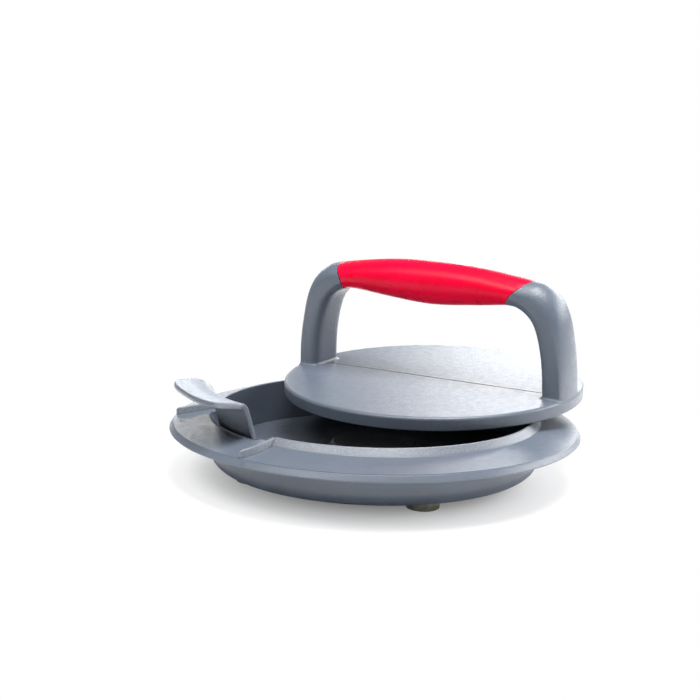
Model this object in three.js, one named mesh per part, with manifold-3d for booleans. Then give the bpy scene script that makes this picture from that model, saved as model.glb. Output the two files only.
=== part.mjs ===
// Hand patty press: a round dish with a lift-out tray, and a loose press with a domed face and an arched
// handle, lying tilted on the dish's ring. Millimetres, +Z up. The origin is the centre of the dish's
// flat underside, on the well's axis, and the tray's thumb tab points to -X.
import * as THREE from 'three';
import { mergeVertices } from 'three/addons/utils/BufferGeometryUtils.js';
import Module from 'manifold-3d';

const wasm = await Module();
wasm.setup();

// Fits
const GAP = 0.3; // clearance between separate pieces
const ROUND_STEPS = 64; // facets round a large circle
const SMALL_STEPS = 28; // facets round a small circle
const CORNER_STEPS = 3; // facets in a rounded corner

// Dish
const WELL_R = 58;
const FLOOR_T = 2.4;
const WALL_FOOT_R = 60.6; // outside of the well's wall where the bottom rounding ends
const WALL_HEAD_R = 61.2; // outside of the well's wall under the brim
const BOTTOM_ROUND = 5;
const WELL_ROUND = 1.5;
const RING_OUT_R = 59.8;
const RING_TOP = 20.3;
const RING_ROOT = 17.8; // height of the brim where the ring stands on it
const BRIM_R = 75.5;
const BRIM_EDGE_TOP = 15.4;
const BRIM_T = 2.3;
const BRIM_ROUND = 0.4;

// Gap in the ring for the tab, and the two guide walls that flank it
const GAP_HALF = THREE.MathUtils.degToRad(28.6);
const GUIDE_T = 2.2;
const GUIDE_L = 14.6; // from the ring's end to near the brim's edge
const GUIDE_SPLAY = THREE.MathUtils.degToRad(19); // from the tab's line
const GUIDE_END_TOP = 18.6;
const GUIDE_END_FOOT = 15.7; // height of the brim under a guide's far end
const GUIDE_SINK = 1.2; // how far a guide is buried in the brim and in the ring's end
const CHANNEL_HALF = THREE.MathUtils.degToRad(21.5); // recess in the well's wall behind the tab's leg
const CHANNEL_R = 60.5;
const CHANNEL_FOOT = 9;
const OVERCUT = 1; // how far a cut runs past the surface it opens

// Feet: rubber plugs in pockets under the dish
const FOOT_R = 5.8;
const FOOT_H = 3.9; // below the dish's underside
const FOOT_PLUG = 0.9; // above the dish's underside
const FOOT_PITCH_R = 46.8;
const FOOT_COUNT = 4;
const FOOT_TURN = THREE.MathUtils.degToRad(-5); // turn of the ring of feet from the tab's line
const FOOT_CHAMFER = 0.5;

// Tray
const TRAY_R = 57.2;
const TRAY_T = 2.2;
const TRAY_FOOT = FLOOR_T + GAP;
const TRAY_TOP = TRAY_FOOT + TRAY_T;
const DOME_R = 15.5; // crest of the boss that dimples the patty
const DOME_FOOT_R = 18.2;
const DOME_H = 2.8;
const DOME_DISH = 0.6; // hollow of the boss's top
const DOME_ROUND = 0.6; // easing of the boss's crest and foot
const TRAY_ROUND = 0.7;
const TAB_T = 2;
const TAB_LEG_HALF_W = 17.5;
const TAB_PAD_HALF_W = 22.2; // the thumb pad is wider than the leg
const TAB_FLARE_X = 55; // where the tab starts to widen
const TAB_ROUND_X = 62.4; // where the pad's blunt round end starts
const TAB_TIP_X = 74;
const TAB_BLUNT = 3; // power of the round end's outline: 2 is an ellipse, more is blunter
const TAB_END_STEPS = 10;
const TAB_LINE = [
  [55.2, TRAY_FOOT + TRAY_T / 2], [56.6, 12], [58.6, 19.5], [60.1, 26],
  [62.3, 29.2], [67, 30.5], [71.5, 30.85], [75, 31.4], [79, 34],
];
const TAB_LINE_STEPS = 20;

// Press disc
const DISC_R = 57.5;
const DISC_T = 4.9;
const DISC_SKIN = 2.3; // top wall over the pocket that takes the face plate
const DISC_RIM_T = 1.6;
const DISC_ROUND = 1.0;
const GROOVE_W = 0.6; // parting groove across the disc between the legs
const GROOVE_D = 0.35;

// Face plate: a shallow sphere closes the disc from below
const FACE_R = DISC_R - DISC_RIM_T - GAP;
const FACE_T = 2;
const FACE_SPHERE_R = 500;
const FACE_PROUD = 0.5; // how far the plate's edge stands below the disc's rim
const FACE_FLANGE_T = 2;
const FACE_STEPS = 5;
const FACE_ROUND = 0.6;

// Handle arch: outer and inner outlines above the disc's top, from the foot of a leg to mid-grip
const LEG_OUT_U = 57.3;
const LEG_IN_U = 48.4;
const ARCH_OUT = [
  [LEG_OUT_U, 0], [57.2, 10], [56.5, 19.5], [55.1, 28.6], [52.1, 35.4], [47.2, 39.9],
  [41.5, 41.8], [20, 44.7], [0, 45.5],
];
const ARCH_IN = [
  [LEG_IN_U, 0], [47.9, 10], [46.7, 18.4], [44.8, 25], [42.4, 28.9], [38.6, 31.4],
  [33.2, 32.2], [20, 30.7], [0, 29.2],
];
const GRIP_STATION = 6; // the outline point where the grip starts
const LEG_HALF_W = 8.5;
const GRIP_HALF_W = 8.3;
const CREASE_LEG = 0.85; // where a leg is widest, as a share of its depth from the inner face
const CREASE_GRIP = 0.48;
const LEG_SQUARE = 0.35; // exponent of the inner half of the section: small is boxy
const GRIP_SQUARE = 0.8;
const SECTION_POINTS = 20;
const STATIONS_PER_SPAN = 2;
const LEG_SINK = 0.5; // how far a leg's foot is buried in the disc
const LEG_FLARE = 1; // how much wider a leg's foot is where it meets the disc
const LEG_FLARE_H = 1.3;
const CORE_HALF_W = 5.2;
const CORE_HALF_H = 3.2;
const CORE_SINK = 0.5; // how far the core bar runs into each bend, in outline points
const CORED_U = 52.4; // pocket up each leg from below
const CORED_W = 10;
const CORED_T = 4;
const CORED_H = 24;
const CORED_TAPER = 0.75;

// How the press lies on the ring
const LIE_X = 31.2;
const LIE_Y = 12.7;
const LIE_Z = 22.55; // centre of the disc's rim plane
const LIE_TILT = THREE.MathUtils.degToRad(2.94);
const LIE_RISE = THREE.MathUtils.degToRad(34); // heading in which the disc rises
const HANDLE_HEADING = THREE.MathUtils.degToRad(-57);

const MATERIALS = {
  body: { color: 0x6f7680, roughness: 0.5, metalness: 0 },
  tray: { color: 0x878e97, roughness: 0.5, metalness: 0 },
  face: { color: 0x666c75, roughness: 0.55, metalness: 0 },
  grip: { color: 0xd8002c, roughness: 0.42, metalness: 0 },
  foot: { color: 0x8f8b7c, roughness: 0.8, metalness: 0 },
};

// --- Solids -----------------------------------------------------------------------------------------

// A closed geometry as a solid: seams merged, collapsed triangles dropped.
function solid(geometry) {
  const bare = new THREE.BufferGeometry();
  bare.setAttribute('position', geometry.getAttribute('position').clone());
  if (geometry.index) bare.setIndex(geometry.index.clone());
  const merged = mergeVertices(bare, 1e-4);
  const corners = merged.index.array;
  const kept = [];
  for (let i = 0; i < corners.length; i += 3) {
    const [a, b, c] = corners.slice(i, i + 3);
    if (a !== b && b !== c && c !== a) kept.push(a, b, c);
  }
  return new wasm.Manifold(new wasm.Mesh({
    numProp: 3,
    vertProperties: merged.getAttribute('position').array,
    triVerts: new Uint32Array(kept),
  }));
}

function geometryOf(body) {
  const raw = body.getMesh();
  const geometry = new THREE.BufferGeometry();
  geometry.setAttribute('position', new THREE.BufferAttribute(new Float32Array(raw.vertProperties), 3));
  geometry.setIndex(new THREE.BufferAttribute(new Uint32Array(raw.triVerts), 1));
  geometry.computeVertexNormals();
  return geometry;
}

function piece(name, body, look) {
  const mesh = new THREE.Mesh(geometryOf(body), new THREE.MeshStandardMaterial(MATERIALS[look]));
  mesh.name = name;
  return mesh;
}

// A turned solid from an outline of (radius, height) points that runs anticlockwise.
function turned(outline, steps = ROUND_STEPS) {
  const geometry = new THREE.LatheGeometry(outline, steps);
  geometry.rotateX(Math.PI / 2);
  return solid(geometry);
}

const rz = (r, z) => new THREE.Vector2(r, z);

// Points of a rounded corner about a centre, from one angle to another in degrees.
function corner(r, z, radius, from, to) {
  const points = [];
  for (let i = 0; i <= CORNER_STEPS; i += 1) {
    const angle = THREE.MathUtils.degToRad(from + ((to - from) * i) / CORNER_STEPS);
    points.push(rz(r + radius * Math.cos(angle), z + radius * Math.sin(angle)));
  }
  return points;
}

// A prism of a plan outline between two heights.
function prism(shape, bottom, top) {
  const geometry = new THREE.ExtrudeGeometry(shape, { depth: top - bottom, bevelEnabled: false });
  geometry.translate(0, 0, bottom);
  return solid(geometry);
}

// A wedge about the Z axis that opens towards -X.
function wedge(half, innerR, outerR, bottom, top) {
  const shape = new THREE.Shape();
  shape.absarc(0, 0, outerR, Math.PI - half, Math.PI + half, false);
  shape.absarc(0, 0, innerR, Math.PI + half, Math.PI - half, true);
  shape.closePath();
  return prism(shape, bottom, top);
}

function cylinder(radius, bottom, top, x, y) {
  const geometry = new THREE.CylinderGeometry(radius, radius, top - bottom, SMALL_STEPS);
  geometry.rotateX(Math.PI / 2);
  geometry.translate(x, y, (top + bottom) / 2);
  return solid(geometry);
}

// --- Dish -------------------------------------------------------------------------------------------

function footPlaces() {
  const places = [];
  for (let i = 0; i < FOOT_COUNT; i += 1) {
    const heading = FOOT_TURN + (i * 2 * Math.PI) / FOOT_COUNT;
    places.push([FOOT_PITCH_R * Math.cos(heading), FOOT_PITCH_R * Math.sin(heading)]);
  }
  return places;
}

function dishOutline() {
  const brimFall = (RING_ROOT - BRIM_EDGE_TOP) / (BRIM_R - RING_OUT_R);
  const underHead = RING_ROOT - BRIM_T - brimFall * (WALL_HEAD_R - RING_OUT_R);
  const ringRound = (RING_OUT_R - WELL_R) / 3;
  return [
    rz(0, 0),
    ...corner(WALL_FOOT_R - BOTTOM_ROUND, BOTTOM_ROUND, BOTTOM_ROUND, -90, 0),
    rz(WALL_HEAD_R, underHead),
    ...corner(BRIM_R - BRIM_ROUND, BRIM_EDGE_TOP - BRIM_T + BRIM_ROUND, BRIM_ROUND, -90, 0),
    ...corner(BRIM_R - BRIM_ROUND, BRIM_EDGE_TOP - BRIM_ROUND, BRIM_ROUND, 0, 90),
    rz(RING_OUT_R, RING_ROOT),
    ...corner(RING_OUT_R - ringRound, RING_TOP - ringRound, ringRound, 0, 90),
    ...corner(WELL_R + ringRound, RING_TOP - ringRound, ringRound, 90, 180),
    ...corner(WELL_R - WELL_ROUND, FLOOR_T + WELL_ROUND, WELL_ROUND, 0, -90),
    rz(0, FLOOR_T),
  ];
}

// A wall that runs outwards across the brim from one end of the ring.
function guide(side) {
  const profile = new THREE.Shape([
    rz(-GUIDE_SINK, RING_ROOT - GUIDE_SINK),
    rz(GUIDE_L, GUIDE_END_FOOT - GUIDE_SINK),
    rz(GUIDE_L, GUIDE_END_TOP),
    rz(-GUIDE_SINK, RING_TOP),
  ]);
  const geometry = new THREE.ExtrudeGeometry(profile, { depth: GUIDE_T, bevelEnabled: false });
  geometry.translate(0, 0, -GUIDE_T / 2);
  geometry.rotateX(Math.PI / 2);
  geometry.rotateZ(Math.PI + side * GUIDE_SPLAY);
  const rootR = (WELL_R + RING_OUT_R) / 2;
  geometry.translate(-rootR * Math.cos(GAP_HALF), -side * rootR * Math.sin(GAP_HALF), 0);
  return solid(geometry);
}

// The slanting recess that gives the tab's leg room in the well's wall.
function channel() {
  const slant = turned([
    rz(WELL_R - OVERCUT, CHANNEL_FOOT),
    rz(CHANNEL_R, RING_ROOT),
    rz(CHANNEL_R, RING_TOP + OVERCUT),
    rz(WELL_R - OVERCUT, RING_TOP + OVERCUT),
    rz(WELL_R - OVERCUT, CHANNEL_FOOT),
  ]);
  return slant.intersect(wedge(CHANNEL_HALF, WELL_R / 2, BRIM_R, 0, 2 * RING_TOP));
}

function dish() {
  const ringGap = wedge(GAP_HALF, WELL_R / 2, RING_OUT_R + OVERCUT, RING_ROOT, RING_TOP + OVERCUT);
  let body = turned(dishOutline()).subtract(ringGap).subtract(channel()).add(guide(1)).add(guide(-1));
  for (const [x, y] of footPlaces()) {
    body = body.subtract(cylinder(FOOT_R + GAP, -OVERCUT, FOOT_PLUG + GAP, x, y));
  }
  return piece('base_dish', body, 'body');
}

function feet() {
  const outline = [
    rz(0, -FOOT_H),
    rz(FOOT_R - FOOT_CHAMFER, -FOOT_H),
    rz(FOOT_R, FOOT_CHAMFER - FOOT_H),
    rz(FOOT_R, FOOT_PLUG),
    rz(0, FOOT_PLUG),
  ];
  return footPlaces().map(([x, y], i) => {
    const foot = piece(`rubber_foot_${i + 1}`, turned(outline, SMALL_STEPS), 'foot');
    foot.position.set(x, y, 0);
    return foot;
  });
}

// --- Tray -------------------------------------------------------------------------------------------

function trayOutline() {
  const crest = TRAY_TOP + DOME_H;
  return [
    rz(0, TRAY_FOOT + DOME_H - DOME_DISH),
    rz(DOME_R - TRAY_T, TRAY_FOOT + DOME_H - DOME_ROUND),
    rz(DOME_FOOT_R - TRAY_T, TRAY_FOOT),
    ...corner(TRAY_R - TRAY_ROUND, TRAY_FOOT + TRAY_ROUND, TRAY_ROUND, -90, 0),
    ...corner(TRAY_R - TRAY_ROUND, TRAY_TOP - TRAY_ROUND, TRAY_ROUND, 0, 90),
    rz(DOME_FOOT_R, TRAY_TOP),
    rz(DOME_FOOT_R - DOME_ROUND, TRAY_TOP + DOME_ROUND / 2),
    rz(DOME_R + DOME_ROUND, crest - DOME_ROUND),
    rz(DOME_R - DOME_ROUND, crest),
    rz(DOME_R * 0.8, crest - DOME_DISH / 3),
    rz(0, crest - DOME_DISH),
  ];
}

// The tab's middle line: up beside the well's wall, out over the ring and along the thumb pad.
function tabLine() {
  return new THREE.SplineCurve(TAB_LINE.map(([r, z]) => rz(r, z))).getPoints(TAB_LINE_STEPS);
}

// The tab's sheet as an outline: the middle line moved by half the thickness to both sides.
function tabOutline() {
  const line = tabLine();
  const inner = [];
  const outer = [];
  line.forEach((p, i) => {
    const before = line[Math.max(i - 1, 0)];
    const after = line[Math.min(i + 1, line.length - 1)];
    const side = rz(after.y - before.y, before.x - after.x).normalize().multiplyScalar(TAB_T / 2);
    outer.push(p.clone().add(side));
    inner.push(p.clone().sub(side));
  });
  return [...outer, ...inner.reverse(), outer[0]];
}

// Half of the tab's plan outline, from the middle of the tray to the tip.
function tabSide() {
  const side = [rz(-WELL_R / 2, TAB_LEG_HALF_W)];
  for (let x = TAB_FLARE_X; x < TAB_ROUND_X; x += 1) {
    const share = THREE.MathUtils.smoothstep(x, TAB_FLARE_X, TAB_ROUND_X);
    side.push(rz(-x, THREE.MathUtils.lerp(TAB_LEG_HALF_W, TAB_PAD_HALF_W, share)));
  }
  for (let i = 0; i < TAB_END_STEPS; i += 1) {
    const angle = (i * Math.PI) / (2 * TAB_END_STEPS);
    const along = (TAB_TIP_X - TAB_ROUND_X) * Math.sin(angle) ** (2 / TAB_BLUNT);
    side.push(rz(-TAB_ROUND_X - along, TAB_PAD_HALF_W * Math.cos(angle) ** (2 / TAB_BLUNT)));
  }
  return side;
}

function tabPlan() {
  const side = tabSide();
  const mirrored = side.map((p) => rz(p.x, -p.y)).reverse();
  return new THREE.Shape([...side, rz(-TAB_TIP_X, 0), ...mirrored]);
}

function tray() {
  const tab = turned(tabOutline(), ROUND_STEPS * 2).intersect(prism(tabPlan(), 0, 2 * RING_TOP));
  return piece('lift_tray', turned(trayOutline()).add(tab), 'tray');
}

// --- Press ------------------------------------------------------------------------------------------
// Built about the disc's centre: u runs along the handle, v across it, and z = 0 is the rim's plane.

// A solid through rings of points, each ring seen anticlockwise from the solid's far end.
function loft(rings) {
  const count = rings[0].length;
  const positions = rings.flat().flatMap((p) => p.toArray());
  const index = [];
  for (let i = 0; i < rings.length - 1; i += 1) {
    for (let j = 0; j < count; j += 1) {
      const a = i * count + j;
      const b = i * count + ((j + 1) % count);
      index.push(a, b, b + count, a, b + count, a + count);
    }
  }
  const last = (rings.length - 1) * count;
  for (let j = 1; j < count - 1; j += 1) {
    index.push(0, j + 1, j);
    index.push(last, last + j, last + j + 1);
  }
  const geometry = new THREE.BufferGeometry();
  geometry.setAttribute('position', new THREE.Float32BufferAttribute(positions, 3));
  geometry.setIndex(index);
  return solid(geometry);
}

const signedPower = (x, n) => Math.sign(x) * Math.abs(x) ** n;

// The arch's stations from one leg's foot to the other's, each with its outer and inner point.
function archStations() {
  const mirror = (list) => [...list, ...list.slice(0, -1).reverse().map(([u, z]) => [-u, z])];
  const outer = new THREE.SplineCurve(mirror(ARCH_OUT).map(([u, z]) => rz(u, z)));
  const inner = new THREE.SplineCurve(mirror(ARCH_IN).map(([u, z]) => rz(u, z)));
  const spans = 2 * (ARCH_OUT.length - 1);
  const stations = [];
  for (let i = 0; i <= spans * STATIONS_PER_SPAN; i += 1) {
    const t = i / (spans * STATIONS_PER_SPAN);
    const place = i / STATIONS_PER_SPAN;
    const fromFoot = Math.min(place, spans - place);
    stations.push({ fromFoot, flare: 0, outer: outer.getPoint(t), inner: inner.getPoint(t) });
  }
  return stations;
}

// One cross-section of the arch: arched outside, boxier inside, widest at the crease.
function archRing(station) {
  const climb = THREE.MathUtils.smoothstep(station.fromFoot, 0, GRIP_STATION - 1);
  const bend = THREE.MathUtils.smoothstep(station.fromFoot, GRIP_STATION - 2, GRIP_STATION + 1);
  const crease = THREE.MathUtils.lerp(CREASE_LEG, CREASE_GRIP, climb);
  const square = THREE.MathUtils.lerp(LEG_SQUARE, GRIP_SQUARE, bend);
  const halfWidth = THREE.MathUtils.lerp(LEG_HALF_W, GRIP_HALF_W, climb) + station.flare;
  const ring = [];
  for (let k = 0; k < SECTION_POINTS; k += 1) {
    const angle = (2 * Math.PI * k) / SECTION_POINTS;
    const power = Math.sin(angle) < 0 ? square : 1;
    const v = -halfWidth * signedPower(Math.cos(angle), power);
    const rise = signedPower(Math.sin(angle), power);
    const share = crease + rise * (rise > 0 ? 1 - crease : crease);
    const p = station.inner.clone().lerp(station.outer, share);
    ring.push(new THREE.Vector3(p.x, v, p.y + DISC_T));
  }
  return ring;
}

// The core bar's cross-section, grown by a margin.
function coreRing(station, margin) {
  const middle = station.inner.clone().lerp(station.outer, 0.5);
  const along = station.outer.clone().sub(station.inner).normalize();
  const ring = [];
  for (let k = 0; k < SECTION_POINTS; k += 1) {
    const angle = (2 * Math.PI * k) / SECTION_POINTS;
    const h = (CORE_HALF_H + margin) * signedPower(Math.sin(angle), 0.5);
    const v = -(CORE_HALF_W + margin) * signedPower(Math.cos(angle), 0.5);
    ring.push(new THREE.Vector3(middle.x + along.x * h, v, middle.y + along.y * h + DISC_T));
  }
  return ring;
}

// A copy of a leg's foot at another height, grown outwards by a flare.
function footStation(foot, height, flare) {
  const grow = flare * Math.sign(foot.outer.x);
  return {
    ...foot,
    flare,
    outer: rz(foot.outer.x + grow, height),
    inner: rz(foot.inner.x - grow, height),
  };
}

// A leg from its flared foot, buried a little in the disc, up to where the grip starts.
function leg(side) {
  const stations = archStations().filter((s) => s.fromFoot <= GRIP_STATION && s.outer.x * side > 0);
  if (side < 0) stations.reverse();
  const foot = stations.shift();
  const all = [
    footStation(foot, -LEG_SINK, LEG_FLARE),
    footStation(foot, 0, LEG_FLARE),
    footStation(foot, LEG_FLARE_H / 3, LEG_FLARE / 3),
    footStation(foot, LEG_FLARE_H, 0),
    ...stations,
  ];
  if (side < 0) all.reverse();
  return loft(all.map(archRing));
}

// Moves a station a little along the handle.
function nudged(station, shift) {
  const by = rz(shift, 0);
  return { ...station, outer: station.outer.clone().add(by), inner: station.inner.clone().add(by) };
}

// The sleeve's stations, its two ends held off the legs by the gap.
function sleeveStations() {
  const stations = archStations().filter((s) => s.fromFoot >= GRIP_STATION);
  const first = stations.shift();
  const last = stations.pop();
  return [nudged(first, -GAP), ...stations, nudged(last, GAP)];
}

// The core bar's stations, which reach into both bends.
function coreStations() {
  return archStations().filter((s) => s.fromFoot >= GRIP_STATION - CORE_SINK);
}

// A tapered pocket up each leg, as a moulded leg has.
function legPocket(side) {
  const profile = new THREE.Shape();
  const t = CORED_T / 2;
  profile.moveTo(-t, 0);
  profile.lineTo(t, 0);
  profile.lineTo(t * CORED_TAPER, CORED_H);
  profile.lineTo(-t * CORED_TAPER, CORED_H);
  profile.closePath();
  const geometry = new THREE.ExtrudeGeometry(profile, { depth: CORED_W, bevelEnabled: false });
  geometry.translate(0, 0, -CORED_W / 2);
  geometry.rotateX(Math.PI / 2);
  geometry.translate(side * CORED_U, 0, DISC_T - DISC_SKIN - OVERCUT);
  return solid(geometry);
}

function pressDisc() {
  return turned([
    rz(0, DISC_T - DISC_SKIN),
    rz(DISC_R - DISC_RIM_T, DISC_T - DISC_SKIN),
    rz(DISC_R - DISC_RIM_T, 0),
    rz(DISC_R - GAP, 0),
    rz(DISC_R, GAP),
    ...corner(DISC_R - DISC_ROUND, DISC_T - DISC_ROUND, DISC_ROUND, 0, 90),
    rz(0, DISC_T),
  ]);
}

function pressBody() {
  const groove = new THREE.BoxGeometry(2 * LEG_IN_U, GROOVE_W, 2 * GROOVE_D);
  groove.translate(0, 0, DISC_T);
  const core = coreStations().map((s) => coreRing(s, 0));
  const body = pressDisc()
    .subtract(solid(groove))
    .add(leg(1))
    .add(leg(-1))
    .add(loft(core))
    .subtract(legPocket(1))
    .subtract(legPocket(-1));
  return piece('press_body', body, 'body');
}

function gripSleeve() {
  const outside = loft(sleeveStations().map(archRing));
  const bore = loft(coreStations().map((s) => coreRing(s, GAP)));
  return piece('grip_sleeve', outside.subtract(bore), 'grip');
}

// Height of the face plate's pressing side at a distance from its centre.
function faceDepth(r) {
  return -FACE_PROUD - (FACE_R ** 2 - r ** 2) / (2 * FACE_SPHERE_R);
}

function facePlate() {
  const top = DISC_T - DISC_SKIN - GAP;
  const hollowR = FACE_R - FACE_FLANGE_T;
  const under = [];
  const over = [];
  for (let i = 0; i < FACE_STEPS; i += 1) {
    const r = (hollowR * i) / FACE_STEPS;
    under.push(rz(r, faceDepth(r)));
    over.unshift(rz(r, faceDepth(r) + FACE_T));
  }
  return piece('press_face_plate', turned([
    ...under,
    ...corner(FACE_R - FACE_ROUND, faceDepth(FACE_R) + FACE_ROUND, FACE_ROUND, -90, 0),
    rz(FACE_R, top),
    rz(hollowR, top),
    rz(hollowR, faceDepth(hollowR) + FACE_T),
    ...over,
  ]), 'face');
}

function press() {
  const turn = new THREE.Group();
  turn.rotation.z = HANDLE_HEADING;
  turn.add(pressBody(), facePlate(), gripSleeve());
  const lie = new THREE.Group();
  const hinge = new THREE.Vector3(Math.sin(LIE_RISE), -Math.cos(LIE_RISE), 0);
  lie.setRotationFromAxisAngle(hinge, LIE_TILT);
  lie.position.set(LIE_X, LIE_Y, LIE_Z);
  lie.add(turn);
  return lie;
}

const pattyPress = new THREE.Group();
pattyPress.add(dish(), ...feet(), tray(), press());

export default pattyPress;
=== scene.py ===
"""Hand patty press: the finely modelled pieces, their materials, and a plain white studio."""

import bisect
import math

import bmesh
import bpy
from mathutils import Matrix, Vector


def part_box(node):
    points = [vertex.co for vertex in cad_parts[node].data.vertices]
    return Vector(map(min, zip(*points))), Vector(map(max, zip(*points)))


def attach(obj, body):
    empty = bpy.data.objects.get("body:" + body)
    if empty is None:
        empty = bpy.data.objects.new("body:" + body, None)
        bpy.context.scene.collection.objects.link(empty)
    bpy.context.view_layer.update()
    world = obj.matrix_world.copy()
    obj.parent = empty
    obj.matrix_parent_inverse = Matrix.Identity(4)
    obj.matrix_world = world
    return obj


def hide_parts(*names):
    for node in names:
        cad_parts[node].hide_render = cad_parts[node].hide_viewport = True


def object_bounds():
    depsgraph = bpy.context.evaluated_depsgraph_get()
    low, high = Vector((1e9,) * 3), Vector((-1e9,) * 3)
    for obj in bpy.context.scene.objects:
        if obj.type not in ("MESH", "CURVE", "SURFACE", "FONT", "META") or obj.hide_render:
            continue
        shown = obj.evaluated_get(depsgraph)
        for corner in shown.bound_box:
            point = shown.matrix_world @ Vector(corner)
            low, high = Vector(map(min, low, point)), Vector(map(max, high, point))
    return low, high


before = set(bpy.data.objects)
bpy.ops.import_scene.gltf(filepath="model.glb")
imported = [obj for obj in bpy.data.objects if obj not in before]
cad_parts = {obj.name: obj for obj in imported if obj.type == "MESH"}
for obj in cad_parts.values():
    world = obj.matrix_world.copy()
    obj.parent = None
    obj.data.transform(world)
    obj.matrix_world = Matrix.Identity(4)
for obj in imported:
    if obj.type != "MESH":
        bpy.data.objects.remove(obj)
CAD_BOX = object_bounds()

MM = 0.001

# Mesh fineness
ROUND_STEPS = 192  # facets round a large circle
SMALL_STEPS = 64  # facets round a small circle
CORNER_STEPS = 6
SECTION_POINTS = 64
STATIONS_PER_SPAN = 8
SHARP = math.radians(38)  # an edge that turns more than this is shaded sharp
NORMAL_WEIGHT = 60  # how far large faces pull the shading their way, 50 being even
MERGE_GAP = 2e-6  # vertices nearer to each other than this become one, in metres
SLIVER_GAP = 1e-6  # faces thinner than this are dropped, in metres

# Dish, in millimetres
WELL_R = 58
FLOOR_T = 2.4
WALL_FOOT_R = 60.6
WALL_HEAD_R = 61.2
WALL_HEAD_EASE = 1.2  # rounding where the wall meets the brim's underside
BOTTOM_ROUND = 5
WELL_ROUND = 1.5
RING_OUT_R = 61.1
RING_TOP = 20.3
RING_ROOT = 17.8
RING_DRAFT = 2.2  # how far the ring's outer face leans in
BRIM_R = 75.5
BRIM_EDGE_TOP = 15.4
BRIM_FALL = (RING_ROOT - BRIM_EDGE_TOP) / (BRIM_R - RING_OUT_R)  # height lost per millimetre
BRIM_T = 2.3
BRIM_DRAFT = 1.0  # how far the brim's edge face leans in
BRIM_ROUND = 0.45
ROOT_ROUND = 0.5  # easing where the ring meets the brim
CREST_ROUND = 0.35
CREST_STEPS = 4
BOTTOM_RINGS = (0, 20, 40, 54)  # radii of the rings of vertices on the dish's flat bottom
BRIM_RINGS = (74, 72, 68, 64, 62)  # and on its brim
WALL_SHARES = (0.1, 0.25, 0.4, 0.55, 0.7, 0.85)  # and down its well's wall, from the top
GAP_HALF = math.radians(28.6)
GAP_BLEND = math.radians(0.7)
BLEND_STEPS = 10  # extra headings across each blend
BLEND_REACH = 1.1  # how far they reach, in blend widths
CHANNEL_HALF = math.radians(21.5)
CHANNEL_BLEND = math.radians(1.2)
CHANNEL_DEPTH = 2.5
CHANNEL_FOOT = 11.2
CHANNEL_SPREAD = 0.02  # keeps apart the points that the recess pushes outwards
GUIDE_T = 2.2
GUIDE_L = 14.4
GUIDE_DRAFT = 1.1  # how much wider a guide is at its foot, each side
GUIDE_SPLAY = math.radians(19)
GUIDE_CURVE = 0.7  # bow of a guide wall
GUIDE_END_TOP = 18.2
GUIDE_END_FOOT = 15.7
GUIDE_SINK = 1.1
GUIDE_STEPS = 24
GUIDE_TOP_ROUND = 0.9  # rounding of a guide's top, as a share of its half thickness
GUIDE_TOP_STEPS = 5
GUIDE_END_FLAT = 0.04  # how blunt its free end is

# Feet
FOOT_R = 5.8
FOOT_H = 3.9
FOOT_PLUG = 0.9
FOOT_PITCH_R = 46.8
FOOT_COUNT = 4
FOOT_TURN = math.radians(-5)
FOOT_GAP = 0.3
FOOT_ROUND = 0.4
PLUG_ROUND = 0.25
PLUG_STEPS = 3
FOOT_CUP = [(0, 0.5), (0.45, 0.5), (0.6, 0.1), (0.66, 0)]  # (share of the radius, depth)

# Tray
TRAY_R = 57.2
TRAY_FOOT = 2.7
TRAY_T = 2.2
TRAY_TOP = TRAY_FOOT + TRAY_T
BOSS_R = 15.5
BOSS_FOOT_R = 18.2
BOSS_H = 2.8
BOSS_DISH = 0.6
BOSS_EASE = 0.6  # how far the boss's slope runs past its crest and foot
BOSS_STEPS = 16
BOSS_RINGS = (2, 5, 8, 11)  # radii of the rings of vertices on the boss and under it
BOSS_CREST_RING = 13.5
PLATE_RINGS = (55.5, 50, 40, 30, 22, 19.6)  # and on the plate round it
TRAY_ROUND = 0.7
TAB_T = 2
TAB_LEG_HALF_W = 17.5
TAB_PAD_HALF_W = 22.2
TAB_FLARE_X = 55
TAB_ROUND_X = 62.4
TAB_TIP_X = 74
TAB_BLUNT = 3
TAB_COLUMNS = 56
TAB_LEG_ROWS = 56
TAB_LEG_SHARE = 0.555  # how much of the tab's line its leg and bend take up
TAB_PAD_ROWS = 34
TAB_PAD_CROWD = 0.8  # below 1 the pad's rows crowd towards its tip
TAB_STRAIGHT = (58, TAB_ROUND_X + 1.5)  # where rows turn from round the axis to straight across
TAB_TIP_GAP = 0.004  # how far the last row stays from the tip
TAB_LINE_STEPS = 400
TAB_FIT_ROUNDS = 12  # rounds in which a row's half-width settles on the outline
TAB_OUTLINE_X = 50  # where the outline starts
TAB_OUTLINE_STEPS = 60
TAB_EDGE = 0.4  # how far in from its outline the tab's edge is rounded
TAB_LINE = [
    (55.0, TRAY_FOOT + TRAY_T / 2), (56.0, 12), (57.7, 19.5), (59.9, 26),
    (62.3, 29.2), (67, 30.5), (71.5, 30.85), (75, 31.4), (79, 34),
]

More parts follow.
